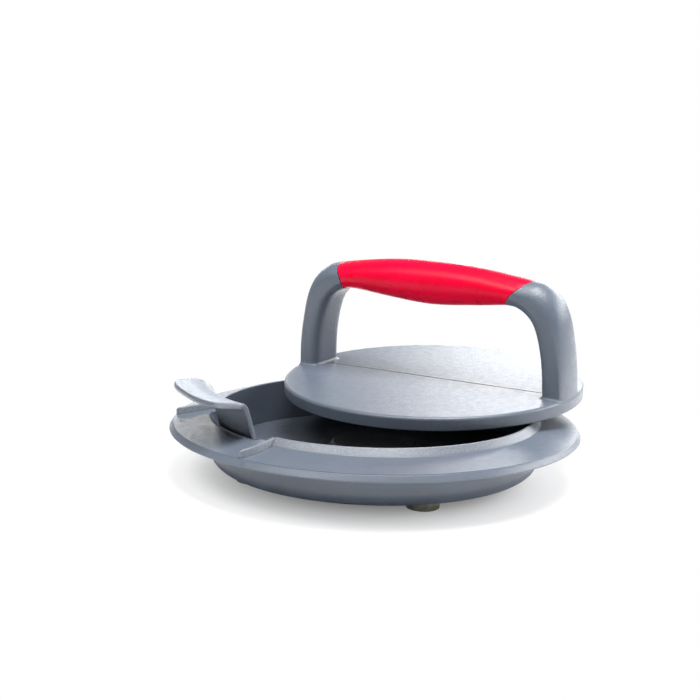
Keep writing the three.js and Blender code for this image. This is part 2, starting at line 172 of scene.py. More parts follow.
# Press
DISC_R = 57.5
DISC_T = 4.9
DISC_SKIN = 2.3
DISC_RIM_T = 1.6
DISC_ROUND = 1.2
DISC_RINGS = (54, 45, 30, 15, 5)  # radii of the rings of vertices on the disc's top
RIM_EASE = 0.3  # rounding in the angle between the rim and the skin
RIM_IN_ROUND = 0.25
RIM_OUT_ROUND = 0.5
GROOVE_W = 0.6
GROOVE_D = 0.35
GROOVE_CLEAR = 0.5  # how far the cutting solid stands above the disc
FACE_R = 55.6
FACE_T = 2
FACE_SPHERE_R = 500
FACE_PROUD = 0.5
FACE_FLANGE_T = 2
FACE_ROUND = 0.6
FACE_GAP = 0.3
FACE_RINGS = 12
LEG_OUT_U = 57.3
LEG_IN_U = 48.4
ARCH_OUT = [
    (LEG_OUT_U, 0), (57.2, 10), (56.5, 19.5), (55.1, 28.6), (52.1, 35.4), (47.2, 39.9),
    (41.5, 41.8), (20, 44.7), (0, 45.5),
]
ARCH_IN = [
    (LEG_IN_U, 0), (47.9, 10), (46.7, 18.4), (44.8, 25), (42.4, 28.9), (38.6, 31.4),
    (33.2, 32.2), (20, 30.7), (0, 29.2),
]
GRIP_STATION = 6
LEG_HALF_W = 8.5
GRIP_HALF_W = 8.3
CREASE_LEG = 0.85
CREASE_GRIP = 0.48
LEG_SQUARE = 0.35
GRIP_SQUARE = 0.8
LEG_SINK = 1.2
FILLET_R = 1.3  # rounding where a leg meets the disc
FILLET_STEPS = 7
FILLET_CLEAR = 1.3  # height of the leg's next ring above the disc, in fillet radii
CORE_HALF_W = 5.2
CORE_HALF_H = 3.2
CORE_SINK = 0.5
CORE_SQUARE = 0.5
CORED_U = 52.4
CORED_W = 10
CORED_T = 4
CORED_H = 24
CORED_TAPER = 0.75
CORED_ROUND = 0.8
CORED_OVERLAP = 1  # how far the cutting solid starts below the skin
SEAM_SKEW = 0.7  # in outline points
SEAM_TONGUE = 1.6  # how far a leg's flanks reach into the sleeve
GRIP_SEAM = 0.12  # gap between the sleeve's end and the leg
GRIP_EASE = 0.55  # rounding of the sleeve's end
GRIP_END_STEPS = 4
GRIP_BORE_GAP = 0.15
LIE_TILT = math.radians(2.94)
LIE_RISE = math.radians(34)
HANDLE_HEADING = math.radians(-57)


# --- Small maths --------------------------------------------------------------------------------

def lerp(a, b, t):
    return a + (b - a) * t


def smoothstep(x, low, high):
    t = min(max((x - low) / (high - low), 0), 1)
    return t * t * (3 - 2 * t)


def signed_power(x, n):
    return math.copysign(abs(x) ** n, x)


def corner(r, z, radius, start, end, steps=CORNER_STEPS):
    """Points of a rounded corner about (r, z), from one angle to another in degrees."""
    angles = [math.radians(lerp(start, end, i / steps)) for i in range(steps + 1)]
    return [(r + radius * math.cos(a), z + radius * math.sin(a)) for a in angles]


def spline(points, t):
    """The uniform Catmull-Rom spline through points, at t between 0 and 1."""
    place = t * (len(points) - 1)
    i = min(int(place), len(points) - 2)
    w = place - i
    p = [Vector(points[min(max(k, 0), len(points) - 1)]) for k in range(i - 1, i + 3)]
    v0, v1 = (p[2] - p[0]) / 2, (p[3] - p[1]) / 2
    a = 2 * (p[1] - p[2]) + v0 + v1
    b = 3 * (p[2] - p[1]) - 2 * v0 - v1
    return a * w ** 3 + b * w ** 2 + v0 * w + p[1]


# --- Meshes -------------------------------------------------------------------------------------

def new_object(name, verts, faces):
    """An object from vertices in millimetres."""
    mesh = bpy.data.meshes.new(name)
    mesh.from_pydata([Vector(v) * MM for v in verts], [], faces)
    obj = bpy.data.objects.new(name, mesh)
    bpy.context.scene.collection.objects.link(obj)
    clean(obj)
    return obj


def clean(obj):
    """Merges doubled vertices, drops slivers and turns every face outwards."""
    bm = bmesh.new()
    bm.from_mesh(obj.data)
    bmesh.ops.remove_doubles(bm, verts=bm.verts, dist=MERGE_GAP)
    bmesh.ops.dissolve_degenerate(bm, edges=bm.edges, dist=SLIVER_GAP)
    bmesh.ops.recalc_face_normals(bm, faces=bm.faces)
    bm.to_mesh(obj.data)
    bm.free()


def triangulate(obj):
    """Splits every face so that no two diagonals fall on the same pair of vertices."""
    bm = bmesh.new()
    bm.from_mesh(obj.data)
    bmesh.ops.triangulate(bm, faces=bm.faces, quad_method="BEAUTY", ngon_method="BEAUTY")
    bm.to_mesh(obj.data)
    bm.free()


def shade(obj):
    """Smooth shading, with the creases kept sharp and flat faces kept flat next to roundings."""
    bm = bmesh.new()
    bm.from_mesh(obj.data)
    for face in bm.faces:
        face.smooth = True
    for edge in bm.edges:
        edge.smooth = edge.calc_face_angle(0) < SHARP
    bm.to_mesh(obj.data)
    bm.free()
    weighted = obj.modifiers.new("even_normals", "WEIGHTED_NORMAL")
    weighted.keep_sharp = True
    weighted.weight = NORMAL_WEIGHT


def skin_rows(rows, closed):
    """Faces between rows of equal length; a closed row joins up with itself."""
    count = len(rows[0])
    faces = []
    for i in range(len(rows) - 1):
        for j in range(count if closed else count - 1):
            k = (j + 1) % count
            faces.append((i * count + j, i * count + k, (i + 1) * count + k, (i + 1) * count + j))
    return faces


def turned(name, outline, steps=ROUND_STEPS):
    """A turned solid from (radius, height) points that start and end on the axis."""
    rows = []
    for i in range(steps):
        turn = 2 * math.pi * i / steps
        rows.append([(r * math.cos(turn), r * math.sin(turn), z) for r, z in outline])
    rows.append(rows[0])
    return new_object(name, sum(rows, []), skin_rows(rows, False))


def loft(name, rings):
    """A solid through closed rings, capped at both ends."""
    count = len(rings[0])
    faces = skin_rows(rings, True)
    faces.append(tuple(reversed(range(count))))
    faces.append(tuple(range((len(rings) - 1) * count, len(rings) * count)))
    return new_object(name, sum(rings, []), faces)


def carve(obj, other, operation):
    """Joins another solid to obj, or cuts it out, and removes the other."""
    boolean = obj.modifiers.new("carve", "BOOLEAN")
    boolean.operation = operation
    boolean.solver = "MANIFOLD"
    boolean.object = other
    depsgraph = bpy.context.evaluated_depsgraph_get()
    result = bpy.data.meshes.new_from_object(obj.evaluated_get(depsgraph))
    obj.modifiers.clear()
    old, obj.data = obj.data, result
    result.name = obj.name
    bpy.data.meshes.remove(old)
    bpy.data.objects.remove(other)
    clean(obj)


# --- Dish ---------------------------------------------------------------------------------------

def brim_height(r):
    return RING_ROOT - BRIM_FALL * (r - RING_OUT_R)


def brim_outline():
    """The dish from the middle of its underside, up the wall, round the brim's edge to the ring."""
    edge_r = BRIM_R - BRIM_ROUND
    under_head = brim_height(WALL_HEAD_R) - BRIM_T
    ease = WALL_HEAD_EASE
    return [
        *[(r, 0) for r in BOTTOM_RINGS],
        *corner(WALL_FOOT_R - BOTTOM_ROUND, BOTTOM_ROUND, BOTTOM_ROUND, -90, 0, 2 * CORNER_STEPS),
        (WALL_HEAD_R - 0.1, under_head - ease),
        (WALL_HEAD_R + 0.25 * ease, under_head - 0.3 * ease),
        (WALL_HEAD_R + ease, under_head - 0.1 * ease),
        (WALL_HEAD_R + 2 * ease, brim_height(WALL_HEAD_R + 2 * ease) - BRIM_T),
        *corner(edge_r, BRIM_EDGE_TOP - BRIM_T + BRIM_ROUND, BRIM_ROUND, -95, 12),
        *corner(edge_r - BRIM_DRAFT, BRIM_EDGE_TOP - BRIM_ROUND, BRIM_ROUND, 12, 82),
        *[(r, brim_height(r)) for r in BRIM_RINGS],
    ]


def ring_outline():
    """The ring from its outer root, up its sloping face and over its crest to the well."""
    crest_r = RING_OUT_R - RING_DRAFT
    lean = math.degrees(math.atan2(RING_TOP - RING_ROOT, RING_DRAFT))
    crest_z = RING_TOP - CREST_ROUND
    return [
        *corner(RING_OUT_R + ROOT_ROUND / 2, RING_ROOT + ROOT_ROUND, ROOT_ROUND,
                -90, -90 - lean, CREST_STEPS),
        *corner(crest_r - CREST_ROUND / 2, crest_z, CREST_ROUND, 90 - lean, 90, CREST_STEPS),
        *corner(WELL_R + CREST_ROUND, crest_z, CREST_ROUND, 90, 180, CREST_STEPS),
    ]


def within(heading, half, blend):
    """1 nearer to heading 0 than half and 0 farther off, with a short blend between."""
    return 1 - smoothstep(abs(heading), half - blend, half + blend)


def channel_depth(heading, z):
    """How deep the tab's recess is at a height of the well's wall."""
    climb = min(max((z - CHANNEL_FOOT) / (RING_ROOT - CHANNEL_FOOT), 0), 1)
    return within(heading, CHANNEL_HALF, CHANNEL_BLEND) * CHANNEL_DEPTH * climb


def dish_headings():
    """Headings from -X round the dish, closer together where the ring and the recess end."""
    fine = []
    for centre, blend in ((GAP_HALF, GAP_BLEND), (CHANNEL_HALF, CHANNEL_BLEND)):
        for side in (-1, 1):
            for i in range(BLEND_STEPS + 1):
                reach = lerp(-BLEND_REACH, BLEND_REACH, i / BLEND_STEPS)
                fine.append(side * centre + blend * reach)
    even = [lerp(-math.pi, math.pi, i / ROUND_STEPS) for i in range(ROUND_STEPS)]
    apart = math.pi / ROUND_STEPS / 2
    return sorted(fine + [h for h in even if all(abs(h - f) > apart for f in fine)])


def dish_row(heading):
    """The dish's outline at one heading from -X."""
    gap = within(heading, GAP_HALF, GAP_BLEND)
    row = list(brim_outline())
    for r, z in ring_outline():
        low = brim_height(max(r, WELL_R))
        inner = WELL_R + channel_depth(heading, RING_ROOT) + CHANNEL_SPREAD * (r - WELL_R)
        row.append((max(r, inner), lerp(z, low, gap)))
    top = row[-1][1]
    for share in WALL_SHARES:
        z = lerp(top, CHANNEL_FOOT - 1, share)
        row.append((WELL_R + channel_depth(heading, z), z))
    row += corner(WELL_R - WELL_ROUND, FLOOR_T + WELL_ROUND, WELL_ROUND, 0, -90)
    row += [(r, FLOOR_T) for r in BOTTOM_RINGS[::-1]]
    return row


def guide(side):
    """A wall with a rounded top that runs outwards across the brim from one end of the ring."""
    root_r = (WELL_R + RING_OUT_R) / 2
    origin = Vector((-root_r * math.cos(GAP_HALF), -side * root_r * math.sin(GAP_HALF)))
    heading = math.pi + side * GUIDE_SPLAY
    along = Vector((math.cos(heading), math.sin(heading)))
    across = Vector((-along.y, along.x))
    rings = []
    for i in range(GUIDE_STEPS + 1):
        share = i / GUIDE_STEPS
        s = lerp(-GUIDE_SINK / 2, GUIDE_L, share)
        end = max(0, (s - GUIDE_L + GUIDE_T / 2) / (GUIDE_T / 2))
        half = GUIDE_T / 3 * math.sqrt(max(1 - end ** 2, GUIDE_END_FLAT))
        top = lerp(RING_TOP, GUIDE_END_TOP, share) - GUIDE_T / 4 * end ** 2
        foot = lerp(RING_ROOT, GUIDE_END_FOOT, share) - GUIDE_SINK
        bow = side * GUIDE_CURVE * math.sin(math.pi * share)
        middle = origin + along * s + across * bow
        round_r = half * GUIDE_TOP_ROUND
        spread = GUIDE_DRAFT * (1 - end) + half
        profile = [(-spread, foot), (spread, foot)]
        profile += corner(half - round_r, top - round_r, round_r, 20, 90, GUIDE_TOP_STEPS)
        profile += corner(round_r - half, top - round_r, round_r, 90, 160, GUIDE_TOP_STEPS)
        rings.append([(*(middle + across * w), z) for w, z in profile])
    return loft("guide", rings)


def foot_places():
    turns = [FOOT_TURN + i * 2 * math.pi / FOOT_COUNT for i in range(FOOT_COUNT)]
    return [Vector((FOOT_PITCH_R * math.cos(a), FOOT_PITCH_R * math.sin(a), 0)) for a in turns]


def dish():
    rows = []
    for heading in dish_headings():
        turn = math.pi + heading
        rows.append([(r * math.cos(turn), r * math.sin(turn), z) for r, z in dish_row(heading)])
    rows.append(rows[0])
    obj = new_object("dish", sum(rows, []), skin_rows(rows, False))
    for side in (1, -1):
        carve(obj, guide(side), "UNION")
    r, top = FOOT_R + FOOT_GAP, FOOT_PLUG + FOOT_GAP
    for place in foot_places():
        pocket = turned("pocket", [(0, -1), (r, -1), (r, top), (0, top)], SMALL_STEPS)
        pocket.data.transform(Matrix.Translation(place * MM))
        carve(obj, pocket, "DIFFERENCE")
    return obj


def foot(name, place):
    """A rubber plug with a soft edge and a shallow cup in its sole."""
    outline = [
        *[(FOOT_R * share, depth - FOOT_H) for share, depth in FOOT_CUP],
        *corner(FOOT_R - FOOT_ROUND, FOOT_ROUND - FOOT_H, FOOT_ROUND, -90, 0),
        (FOOT_R, -FOOT_GAP),
        *corner(FOOT_R - PLUG_ROUND, FOOT_PLUG - PLUG_ROUND, PLUG_ROUND, 0, 90, PLUG_STEPS),
        (0, FOOT_PLUG),
    ]
    obj = turned(name, outline, SMALL_STEPS)
    obj.data.transform(Matrix.Translation(place * MM))
    return obj


# --- Tray ---------------------------------------------------------------------------------------

def tray_outline():
    crest = TRAY_TOP + BOSS_H
    boss = []
    for i in range(BOSS_STEPS + 1):
        share = i / BOSS_STEPS
        r = lerp(BOSS_FOOT_R + BOSS_EASE, BOSS_R - BOSS_EASE, share)
        boss.append((r, TRAY_TOP + BOSS_H * smoothstep(share, 0, 1)))
    hollow = []
    for r in (BOSS_CREST_RING, *BOSS_RINGS[::-1]):
        hollow.append((r, crest - BOSS_DISH * (1 - (r / BOSS_R) ** 2)))
    return [
        *[(r, TRAY_FOOT + BOSS_H - BOSS_DISH) for r in (0, *BOSS_RINGS, BOSS_R - TRAY_T)],
        (BOSS_FOOT_R - TRAY_T, TRAY_FOOT),
        *corner(TRAY_R - TRAY_ROUND, TRAY_FOOT + TRAY_ROUND, TRAY_ROUND, -90, 0),
        *corner(TRAY_R - TRAY_ROUND, TRAY_TOP - TRAY_ROUND, TRAY_ROUND, 0, 90),
        *[(r, TRAY_TOP) for r in PLATE_RINGS],
        *boss,
        *hollow,
        (0, crest - BOSS_DISH),
    ]


def tab_half_width(x):
    """Half of the tab's width at a distance from the axis, seen from above."""
    if x <= TAB_ROUND_X:
        return lerp(TAB_LEG_HALF_W, TAB_PAD_HALF_W, smoothstep(x, TAB_FLARE_X, TAB_ROUND_X))
    reach = min((x - TAB_ROUND_X) / (TAB_TIP_X - TAB_ROUND_X), 1)
    return TAB_PAD_HALF_W * (1 - reach ** TAB_BLUNT) ** (1 / TAB_BLUNT)


class TabSheet:
    """The tab's middle surface, turned about the axis: a height for each distance from the axis."""

    def __init__(self):
        self.line = [spline(TAB_LINE, i / TAB_LINE_STEPS) for i in range(TAB_LINE_STEPS + 1)]
        self.radii = [p.x for p in self.line]

    def at(self, r):
        """(height, outward normal as (radial, upward)) at a distance from the axis."""
        i = min(max(bisect.bisect(self.radii, r), 1), len(self.line) - 1)
        a, b = self.line[i - 1], self.line[i]
        z = lerp(a.y, b.y, (r - a.x) / (b.x - a.x))
        run = (b - a).normalized()
        return z, Vector((run.y, -run.x))


def tab_stations():
    """(distance from the axis on the tab's middle line, how straight the row runs across)."""
    places = []
    for i in range(TAB_LEG_ROWS):
        places.append(spline(TAB_LINE, lerp(0.0, TAB_LEG_SHARE, i / TAB_LEG_ROWS)).x)
    start = places[-1]
    for i in range(1, TAB_PAD_ROWS):
        share = math.sin(i / TAB_PAD_ROWS * math.pi / 2) ** TAB_PAD_CROWD
        places.append(start + (TAB_TIP_X - start) * share)
    stations = [(x, smoothstep(x, *TAB_STRAIGHT)) for x in places]
    return [*stations, (TAB_TIP_X - TAB_TIP_GAP, 1)]


def tab_edge(r, straight):
    """Half-width of one row, where the row meets the tab's outline."""
    y = TAB_LEG_HALF_W
    for _ in range(TAB_FIT_ROUNDS):
        y = tab_half_width(math.sqrt(max(tab_row_radius(r, straight, y) ** 2 - y * y, 0)))
    return y


def tab_row_radius(r, straight, y):
    """Distance from the axis of a point of a row, y to the side of the middle line."""
    return lerp(r, math.hypot(r, y), straight)


def tab_boundary():
    """Points on the outline of the tab's free end, seen from above."""
    side = []
    for i in range(TAB_OUTLINE_STEPS):
        x = lerp(TAB_OUTLINE_X, TAB_ROUND_X, i / TAB_OUTLINE_STEPS)
        side.append(Vector((x, tab_half_width(x))))
    for i in range(TAB_OUTLINE_STEPS + 1):
        a = i / TAB_OUTLINE_STEPS * math.pi / 2
        x = TAB_ROUND_X + (TAB_TIP_X - TAB_ROUND_X) * math.sin(a) ** (2 / TAB_BLUNT)
        side.append(Vector((x, TAB_PAD_HALF_W * math.cos(a) ** (2 / TAB_BLUNT))))
    return side


def distance_to(point, line):
    """Distance from a point to a run of points."""
    best = 1e9
    for a, b in zip(line, line[1:]):
        run = b - a
        t = min(max((point - a).dot(run) / max(run.length_squared, 1e-12), 0), 1)
        best = min(best, (point - a - run * t).length)
    return best


def tab():
    """The tab as a sheet of even thickness with a rounded edge all round."""
    sheet = TabSheet()
    outline = tab_boundary()
    shares = [math.sin(lerp(-1, 1, j / TAB_COLUMNS) * math.pi / 2) for j in range(TAB_COLUMNS + 1)]
    top, bottom = [], []
    for r, straight in tab_stations():
        half = tab_edge(r, straight)
        upper, lower = [], []
        for share in shares:
            y = half * share
            radius = tab_row_radius(r, straight, y)
            x = math.sqrt(max(radius ** 2 - y * y, 0))
            z, normal = sheet.at(radius)
            inset = min(distance_to(Vector((x, abs(y))), outline) / TAB_EDGE, 1)
            thick = TAB_T / 2 * math.sqrt(max(1 - (1 - inset) ** 2, 0))
            middle = Vector((-x, y, z))
            out = Vector((-x / radius * normal.x, y / radius * normal.x, normal.y))
            upper.append(tuple(middle - out * thick))
            lower.append(tuple(middle + out * thick))
        top.append(upper)
        bottom.append(lower)
    rings = [upper + lower[::-1] for upper, lower in zip(top, bottom)]
    return loft("tab", rings)


def tray():
    obj = turned("tray", tray_outline())
    carve(obj, tab(), "UNION")
    return obj


# --- Press --------------------------------------------------------------------------------------
# Built about the disc's centre: u runs along the handle, v across it, and z = 0 is the rim's plane.

def arch_stations():
    """(place from the nearer foot, outer point, inner point) from one leg's foot to the other's."""
    outer = ARCH_OUT + [(-u, z) for u, z in ARCH_OUT[-2::-1]]
    inner = ARCH_IN + [(-u, z) for u, z in ARCH_IN[-2::-1]]
    spans = len(outer) - 1
    stations = []
    for i in range(spans * STATIONS_PER_SPAN + 1):
        place = i / STATIONS_PER_SPAN
        far = spans - place
        under = spans - skewed(far) if far < place else place
        points = spline(outer, place / spans), spline(inner, under / spans)
        stations.append((min(place, far), *points))
    return stations


def skewed(place):
    """Where the far leg's inner outline meets a station: its seam stands more upright."""
    if place < GRIP_STATION:
        return place - SEAM_SKEW * max(place - GRIP_STATION + 1, 0)
    return place - SEAM_SKEW * max(GRIP_STATION + 1 - place, 0)


def arch_ring(station, flare=0, shrink=0):
    """One cross-section of the arch: arched outside, boxier inside, widest at the crease."""
    from_foot, outer, inner = station
    climb = smoothstep(from_foot, 0, GRIP_STATION - 1)
    bend = smoothstep(from_foot, GRIP_STATION - 2, GRIP_STATION + 1)
    crease = lerp(CREASE_LEG, CREASE_GRIP, climb)
    square = lerp(LEG_SQUARE, GRIP_SQUARE, bend)
    half = lerp(LEG_HALF_W, GRIP_HALF_W, climb) + flare - shrink
    depth = (outer - inner).length
    tongue = SEAM_TONGUE * max(0, 1 - abs(from_foot - GRIP_STATION))
    grow = (flare - shrink) / depth
    ring = []
    for k in range(SECTION_POINTS):
        angle = 2 * math.pi * k / SECTION_POINTS
        power = square if math.sin(angle) < 0 else 1
        rise = signed_power(math.sin(angle), power)
        share = crease + rise * (1 - crease + min(grow, 0) if rise > 0 else crease + grow)
        p = inner.lerp(outer, share)
        p.x -= math.copysign(tongue * (1 - rise ** 2), p.x)
        ring.append((p.x, -half * signed_power(math.cos(angle), power), p.y + DISC_T))
    return ring


def core_ring(station, margin):
    """The core bar's cross-section, grown by a margin."""
    _, outer, inner = station
    middle = (inner + outer) / 2
    along = (outer - inner).normalized()
    ring = []
    for k in range(SECTION_POINTS):
        angle = 2 * math.pi * k / SECTION_POINTS
        p = middle + along * (CORE_HALF_H + margin) * signed_power(math.sin(angle), CORE_SQUARE)
        v = -(CORE_HALF_W + margin) * signed_power(math.cos(angle), CORE_SQUARE)
        ring.append((p.x, v, p.y + DISC_T))
    return ring


def leg(side):
    """A leg from its filleted foot, buried a little in the disc, up to where the grip starts."""
    stations = [s for s in arch_stations() if s[0] <= GRIP_STATION and s[1].x * side > 0]
    stations.sort(key=lambda s: s[0])
    foot_at = stations[0]
    rings = []
    for i in range(FILLET_STEPS + 1):
        angle = i / FILLET_STEPS * math.pi / 2
        height = FILLET_R * (1 - math.cos(angle))
        place = (0, Vector((foot_at[1].x, height)), Vector((foot_at[2].x, height)))
        rings.append(arch_ring(place, FILLET_R * (1 - math.sin(angle))))
    sunk = [(x, v, DISC_T - LEG_SINK) for x, v, _ in rings[0]]
    above = [s for s in stations if s[1].y > FILLET_R * FILLET_CLEAR]
    return loft("leg", [sunk] + rings + [arch_ring(s) for s in above])


def leg_pocket(side):
    """A tapered pocket up a leg, as a moulded leg has."""
    rings = []
    start = DISC_T - DISC_SKIN - CORED_OVERLAP
    for z, share in ((start, 1), (start + CORED_H, CORED_TAPER)):
        u = CORED_T / 2 * share - CORED_ROUND
        v = CORED_W / 2 - CORED_ROUND
        ring = []
        for angle, middle in ((0, (u, v)), (90, (-u, v)), (180, (-u, -v)), (270, (u, -v))):
            ring += corner(*middle, CORED_ROUND, angle, angle + 90)
        rings.append([(side * CORED_U + across, along, z) for across, along in ring])
    return loft("pocket", rings)


def groove():
    """The parting groove across the disc between the legs."""
    half = GROOVE_W / 2
    side = [(half, GROOVE_CLEAR), (half, 0), (half / 2, -GROOVE_D)]
    profile = [(-v, z) for v, z in side] + side[::-1]
    return loft("groove", [[(u, v, DISC_T + z) for v, z in profile] for u in (-LEG_IN_U, LEG_IN_U)])


def disc():
    skin = DISC_T - DISC_SKIN
    return turned("press", [
        (0, skin),
        (DISC_R - DISC_RIM_T - RIM_EASE, skin),
        (DISC_R - DISC_RIM_T, skin - RIM_EASE),
        *corner(DISC_R - DISC_RIM_T + RIM_IN_ROUND, RIM_IN_ROUND, RIM_IN_ROUND, 180, 270, 3),
        *corner(DISC_R - RIM_OUT_ROUND, RIM_OUT_ROUND, RIM_OUT_ROUND, 270, 360, 4),
        *corner(DISC_R - DISC_ROUND, DISC_T - DISC_ROUND, DISC_ROUND, 0, 90),
        *[(r, DISC_T) for r in DISC_RINGS],
        (0, DISC_T),
    ])


def press_body():
    obj = disc()
    carve(obj, groove(), "DIFFERENCE")
    for side in (1, -1):
        carve(obj, leg(side), "UNION")
    core = [s for s in arch_stations() if s[0] >= GRIP_STATION - CORE_SINK]
    carve(obj, loft("core", [core_ring(s, 0) for s in core]), "UNION")
    for side in (1, -1):
        carve(obj, leg_pocket(side), "DIFFERENCE")
    return obj


def moved(station, shift):
    return (station[0], station[1] + Vector((shift, 0)), station[2] + Vector((shift, 0)))


def grip_sleeve():
    """The sleeve on the core bar, its ends rounded and a hair's breadth off the legs."""
    stations = [s for s in arch_stations() if s[0] >= GRIP_STATION]
    rings = []
    for first, sign in ((stations[0], -1), (stations[-1], 1)):
        end = []
        for i in range(GRIP_END_STEPS + 1):
            angle = i / GRIP_END_STEPS * math.pi / 2
            shift = GRIP_SEAM + GRIP_EASE * (1 - math.sin(angle))
            shrink = GRIP_EASE * (1 - math.cos(angle))
            end.append(arch_ring(moved(first, sign * shift), shrink=shrink))
        rings.append(end)
    body = [arch_ring(s) for s in stations[1:-1]]
    obj = loft("grip", rings[0][::-1] + body + rings[1])
    core = [s for s in arch_stations() if s[0] >= GRIP_STATION - CORE_SINK]
    carve(obj, loft("bore", [core_ring(s, GRIP_BORE_GAP) for s in core]), "DIFFERENCE")
    triangulate(obj)
    return obj


def face_depth(r):
    return -FACE_PROUD - (FACE_R ** 2 - r ** 2) / (2 * FACE_SPHERE_R)


def face_plate():
    top = DISC_T - DISC_SKIN - FACE_GAP
    hollow = FACE_R - FACE_FLANGE_T
    radii = [hollow * i / FACE_RINGS for i in range(FACE_RINGS)]
    return turned("press_face", [
        *[(r, face_depth(r)) for r in radii],
        *corner(FACE_R - FACE_ROUND, face_depth(FACE_R) + FACE_ROUND, FACE_ROUND, -90, 0),
        (FACE_R, top),
        (hollow, top),
        (hollow, face_depth(hollow) + FACE_T),
        *[(r, face_depth(r) + FACE_T) for r in radii[::-1]],
    ])


def mesh_box(obj):
    points = [v.co for v in obj.data.vertices]
    low = Vector([min(p[k] for p in points) for k in range(3)])
    high = Vector([max(p[k] for p in points) for k in range(3)])
    return low, high


def lay_press(pieces, body, node):
    """Turns the press as it lies and puts its body where the CAD's is."""
    hinge = Vector((math.sin(LIE_RISE), -math.cos(LIE_RISE), 0))
    turn = Matrix.Rotation(LIE_TILT, 4, hinge) @ Matrix.Rotation(HANDLE_HEADING, 4, "Z")
    for piece in pieces:
        piece.data.transform(turn)
    low, high = mesh_box(body)
    cad_low, cad_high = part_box(node)
    shift = (cad_low + cad_high - low - high) / 2
    for piece in pieces:
        piece.data.transform(Matrix.Translation(shift))


# --- Materials ----------------------------------------------------------------------------------

# Each pair holds a darker and a lighter shade, which a material's grain mixes.
GREY = (0.078, 0.096, 0.124), (0.092, 0.112, 0.144)
# painted shade: darker than the dish's grey, to stand in for the shade inside the well
SHADED_TRAY_GREY = (0.05, 0.06, 0.076), (0.06, 0.071, 0.09)
FACE_GREY = (0.075, 0.087, 0.105), (0.09, 0.104, 0.124)
# painted highlight: paler tones laid where light catches the ring, the guide walls, the brim's edge
# and the tab
HIGHLIGHT_TONES = (0.115, 0.132, 0.16), (0.2, 0.222, 0.26)
RED = (0.58, 0.0, 0.022), (0.67, 0.0, 0.029)
RED_WORN = (0.88, 0.04, 0.08)
RUBBER = (0.28, 0.26, 0.2), (0.44, 0.42, 0.35)
RUBBER_WORN = (0.42, 0.4, 0.34)
SATIN = 0.3, 0.44  # least and greatest roughness of the plastics
POLISHED = 0.2  # roughness of rubbed edges


class Nodes:
    """A node tree with short calls for the nodes that the materials share."""

    def __init__(self, name):
        self.material = bpy.data.materials.new(name)
        self.material.use_nodes = True
        self.tree = self.material.node_tree
        self.bsdf = self.tree.nodes["Principled BSDF"]
        self.place = self.add("ShaderNodeTexCoord").outputs["Object"]

    def add(self, kind, **values):
        node = self.tree.nodes.new(kind)
        for key, value in values.items():
            setattr(node, key, value)
        return node

    def link(self, source, target):
        self.tree.links.new(source, target)

    def noise(self, scale, detail=2.0, rough=0.5, stretch=None):
        """Noise with scale bumps per metre."""
        node = self.add("ShaderNodeTexNoise")
        node.inputs["Scale"].default_value = scale
        node.inputs["Detail"].default_value = detail
        node.inputs["Roughness"].default_value = rough
        source = self.place
        if stretch:
            mapping = self.add("ShaderNodeMapping")
            mapping.inputs["Scale"].default_value = stretch
            self.link(source, mapping.inputs["Vector"])
            source = mapping.outputs["Vector"]
        self.link(source, node.inputs["Vector"])
        return node.outputs["Fac"]

    def cells(self, scale):
        node = self.add("ShaderNodeTexVoronoi")
        node.inputs["Scale"].default_value = scale
        self.link(self.place, node.inputs["Vector"])
        return node.outputs["Distance"]

    def remap(self, value, low, high, to_low, to_high, curve="LINEAR"):
        node = self.add("ShaderNodeMapRange", interpolation_type=curve)
        limits = {"From Min": low, "From Max": high, "To Min": to_low, "To Max": to_high}
        for key, number in limits.items():
            node.inputs[key].default_value = number
        self.link(value, node.inputs["Value"])
        return node.outputs["Result"]

    def split(self, vector):
        node = self.add("ShaderNodeSeparateXYZ")
        self.link(vector, node.inputs[0])
        return node.outputs

    def math(self, operation, a, b):
        node = self.add("ShaderNodeMath", operation=operation)
        for slot, value in zip(node.inputs, (a, b)):
            if isinstance(value, (int, float)):
                slot.default_value = value
            else:
                self.link(value, slot)
        return node.outputs["Value"]

    def mix(self, factor, a, b):
        """A colour between a and b, each an RGB triple or a socket."""
        node = self.add("ShaderNodeMix", data_type="RGBA")
        self.link(factor, node.inputs[0])
        for slot, value in zip((node.inputs[6], node.inputs[7]), (a, b)):
            if isinstance(value, tuple):
                slot.default_value = (*value, 1)
            else:
                self.link(value, slot)
        return node.outputs[2]

    def blend(self, factor, a, b):
        """A number between socket a and number b."""
        node = self.add("ShaderNodeMix", data_type="FLOAT")
        self.link(factor, node.inputs[0])
        self.link(a, node.inputs[2])
        node.inputs[3].default_value = b
        return node.outputs[0]

    def edges(self, low, high):
        """0 on flat ground rising to 1 on convex edges."""
        return self.remap(self.add("ShaderNodeNewGeometry").outputs["Pointiness"], low, high, 0, 1)

    def bump(self, height, distance, strength=1.0, under=None):
        node = self.add("ShaderNodeBump")
        node.inputs["Distance"].default_value = distance
        node.inputs["Strength"].default_value = strength
        self.link(height, node.inputs["Height"])
        if under is not None:
            self.link(under, node.inputs["Normal"])
        return node.outputs["Normal"]

    def finish(self, colour, roughness, normal, **values):
        self.link(colour, self.bsdf.inputs["Base Color"])
        self.link(roughness, self.bsdf.inputs["Roughness"])
        self.link(normal, self.bsdf.inputs["Normal"])
        for key, value in values.items():
            self.bsdf.inputs[key.replace("_", " ")].default_value = value
        return self.material


